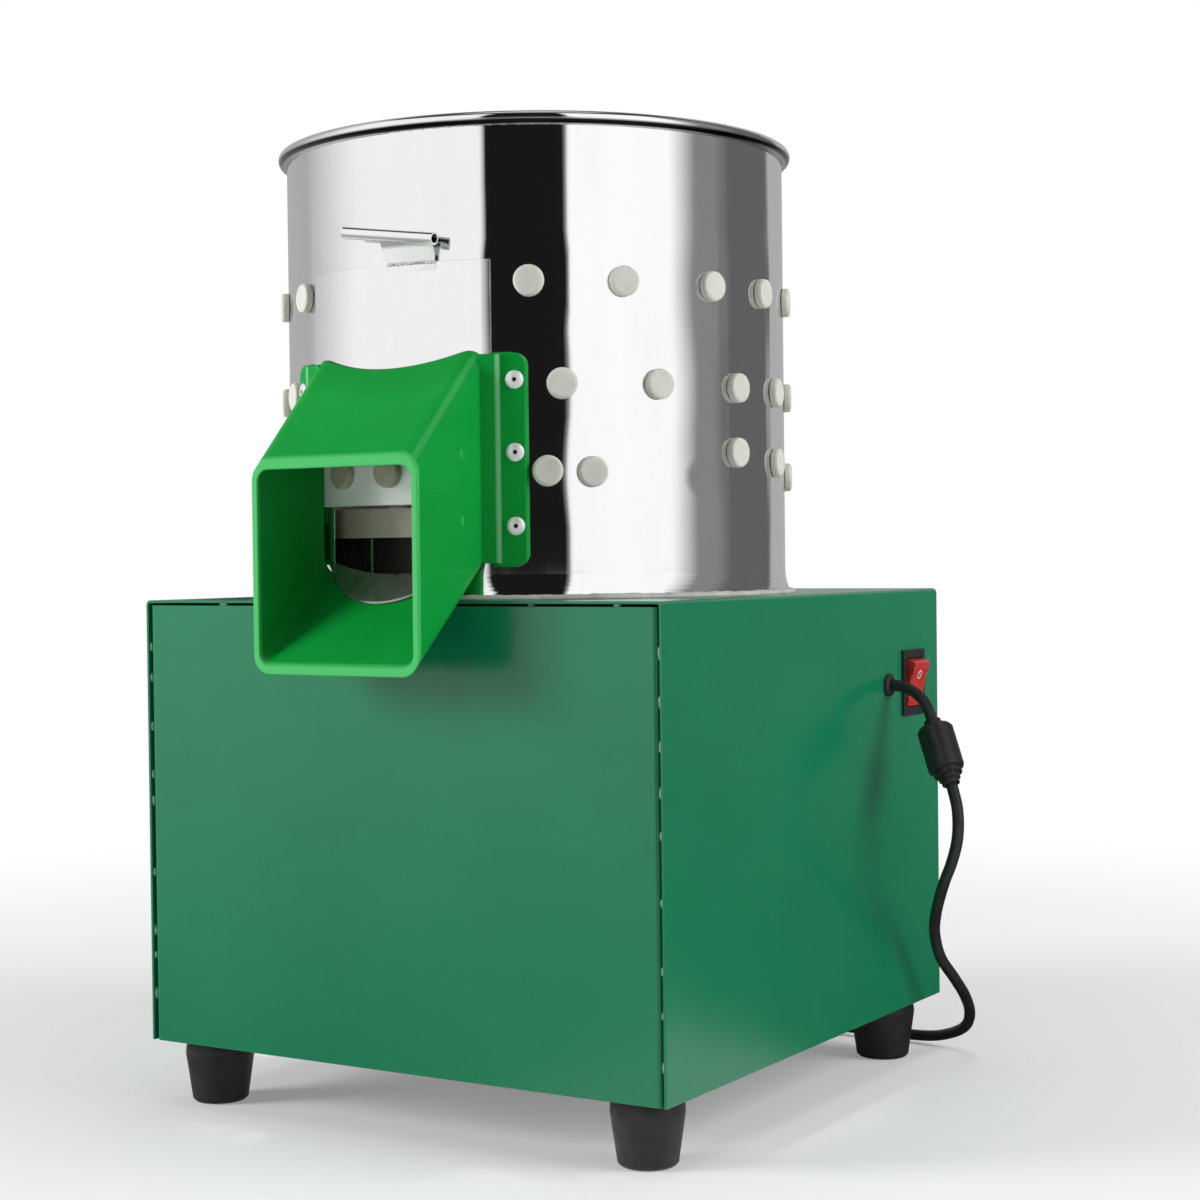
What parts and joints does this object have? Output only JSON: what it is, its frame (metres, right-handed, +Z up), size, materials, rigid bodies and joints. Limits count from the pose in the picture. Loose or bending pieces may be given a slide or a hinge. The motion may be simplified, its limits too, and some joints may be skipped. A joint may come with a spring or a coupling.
{
  "type": "poultry plucker",
  "caption": "Drum poultry plucker: fingered stainless drum over a turntable, lift gate and discharge chute, on a painted box with a belt-drive motor inside.",
  "frame": {"origin": "on the floor under the drum and turntable axis", "axes": "+Z up along the drum axis, -Y towards the chute at the front, +X towards the switch and cord"},
  "size_m": [0.4135, 0.5131, 0.566],
  "materials": {
    "green_paint": "satin paint",
    "frame_paint": "matt primer",
    "foot_rubber": "moulded",
    "zinc": "zinc plated",
    "stainless": "mirror polished",
    "stainless_inner": "satin",
    "sealant": "cured sealant",
    "finger_rubber": "natural rubber",
    "chute_plastic": "semi-gloss",
    "rivet": "bright",
    "cast": "machined casting",
    "bright_steel": "ground",
    "belt_rubber": "moulded belt",
    "motor_alloy": "cast",
    "copper_pack": "laminated",
    "dark_plastic": "moulded",
    "capacitor_can": "drawn can",
    "rocker_red": "moulded",
    "cord_black": "cord sheath"
  },
  "bodies": {
    "base": {"body_wrap": "green_paint", "front_panel": "green_paint", "back_panel": "green_paint", "base_frame": "frame_paint", "foot_front_left": "foot_rubber", "foot_front_right": "foot_rubber", "foot_back_left": "foot_rubber", "foot_back_right": "foot_rubber", "foot_fixings": "zinc", "drum_shell": "stainless", "drum_floor": "stainless_inner", "drum_seal": "sealant", "drum_fingers_upper": "finger_rubber", "drum_fingers_middle": "finger_rubber", "drum_fingers_lower": "finger_rubber", "chute": "chute_plastic", "chute_rivets": "rivet", "outlet_tongue": "stainless_inner", "spindle_housing": "cast", "spindle_fixings": "zinc", "spindle_seal": "foot_rubber", "bearing_outer_rings": "bright_steel", "bearing_balls": "bright_steel", "drive_belt": "belt_rubber", "motor_shell": "motor_alloy", "motor_stator": "copper_pack", "motor_top_shield": "motor_alloy", "motor_fan_cover": "dark_plastic", "motor_plate": "frame_paint", "motor_rails": "frame_paint", "motor_bolts": "zinc", "terminal_box": "dark_plastic", "capacitor": "capacitor_can", "switch_body": "dark_plastic", "cord_grommet": "foot_rubber", "cord_lead": "cord_black", "cord_barrel": "cord_black", "cord_tail": "cord_black", "cord_coil": "cord_black", "cord_tie": "cord_black", "cord_plug_lead": "cord_black", "plug_body": "cord_black", "plug_pins": "bright_steel", "inner_lead": "cord_black"},
    "rotor": {"turntable": "stainless_inner", "turntable_fingers": "finger_rubber", "turntable_hub": "cast", "hub_bolts": "zinc", "spindle_nuts": "zinc", "feather_sweeps": "stainless_inner", "sweep_bolts": "zinc", "spindle_shaft": "bright_steel", "bearing_inner_rings": "bright_steel", "driven_pulley": "cast"},
    "motor_drive": {"motor_pulley": "cast", "motor_rotor": "bright_steel", "motor_fan": "dark_plastic"},
    "gate": {"gate_plate": "stainless", "gate_fingers": "finger_rubber"},
    "rocker": {"switch_rocker": "rocker_red"}
  },
  "joints": [
    {"name": "turntable_spin", "type": "hinge", "parent": "base", "child": "rotor", "pos_m": [0, 0, 0.3], "axis": [0, 0, 1], "continuous": true},
    {"name": "motor_spin", "type": "hinge", "parent": "base", "child": "motor_drive", "pos_m": [0, 0.118, 0.15], "axis": [0, 0, 1], "continuous": true},
    {"name": "gate_lift", "type": "slide", "parent": "base", "child": "gate", "axis": [0, 0, 1], "range_m": [0, 0.03]},
    {"name": "rocker_tilt", "type": "hinge", "parent": "base", "child": "rocker", "pos_m": [0.1764, 0.157, 0.2415], "axis": [0, 1, 0], "range_deg": [-22, 0]}
  ],
  "couplings": [
    {"joint": "motor_spin", "follows": "turntable_spin", "ratio": 3}
  ]
}
